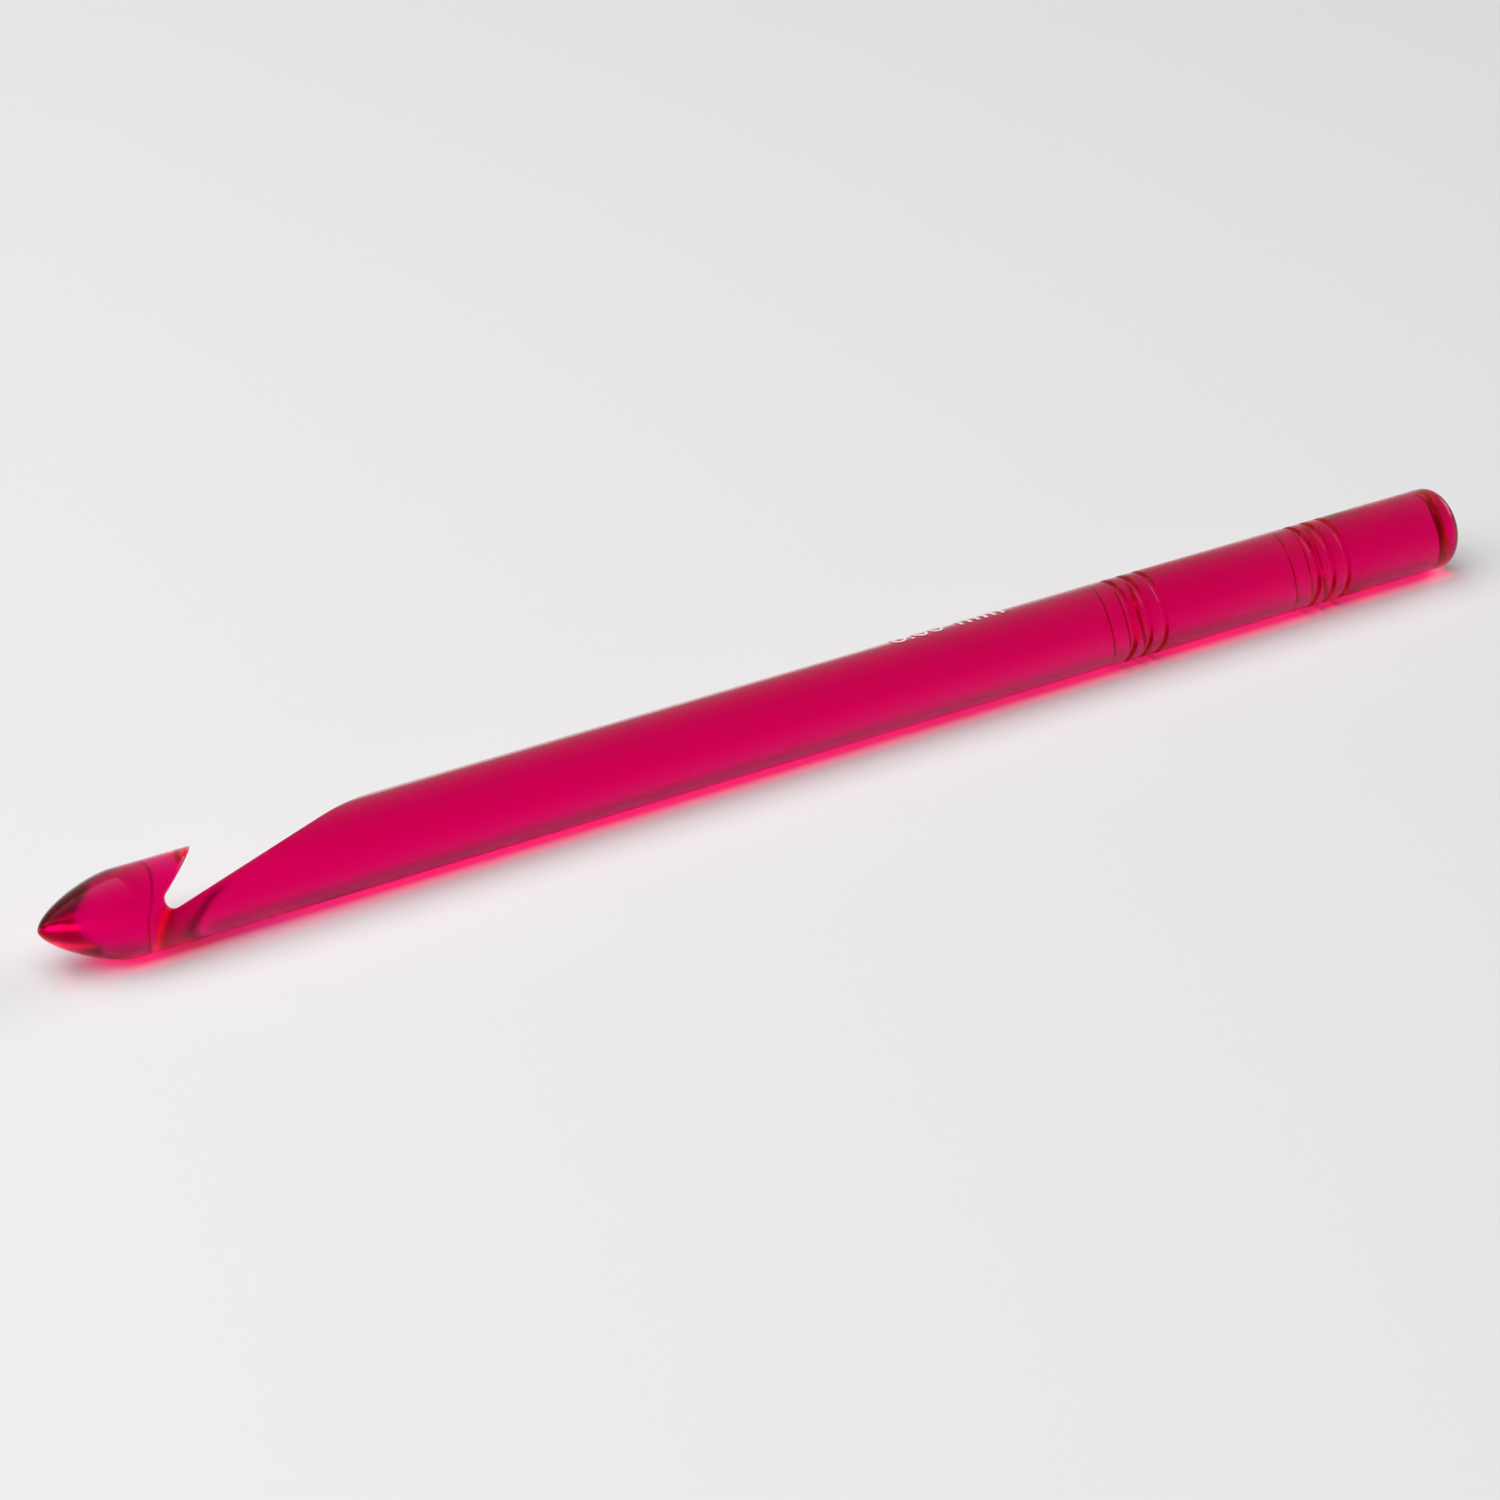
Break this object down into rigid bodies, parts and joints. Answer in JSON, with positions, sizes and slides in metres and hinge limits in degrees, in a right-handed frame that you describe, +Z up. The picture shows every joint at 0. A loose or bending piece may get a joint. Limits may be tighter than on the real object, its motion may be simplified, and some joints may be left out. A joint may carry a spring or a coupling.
{
  "type": "crochet hook",
  "caption": "Straight round crochet hook in clear tinted acrylic, with a pointed in-line head, an undercut throat, a ramp to the shaft and turned grip rings.",
  "frame": {"origin": "on the surface that the hook lies on, below the middle of its length and width", "axes": "+X along the rod from the head to the handle end, +Z up from the surface; the mouth is turned 39 degrees from +Z towards +Y"},
  "size_m": [0.15, 0.008, 0.008],
  "materials": {
    "tinted_acrylic": "polished clear magenta acrylic",
    "white_ink": "thin printed ink"
  },
  "bodies": {
    "root": {"hook_body": "tinted_acrylic", "size_mark_eight": "white_ink", "size_mark_point": "white_ink", "size_mark_zero_1": "white_ink", "size_mark_zero_2": "white_ink", "size_mark_letter_m_1": "white_ink", "size_mark_letter_m_2": "white_ink"}
  },
  "joints": []
}
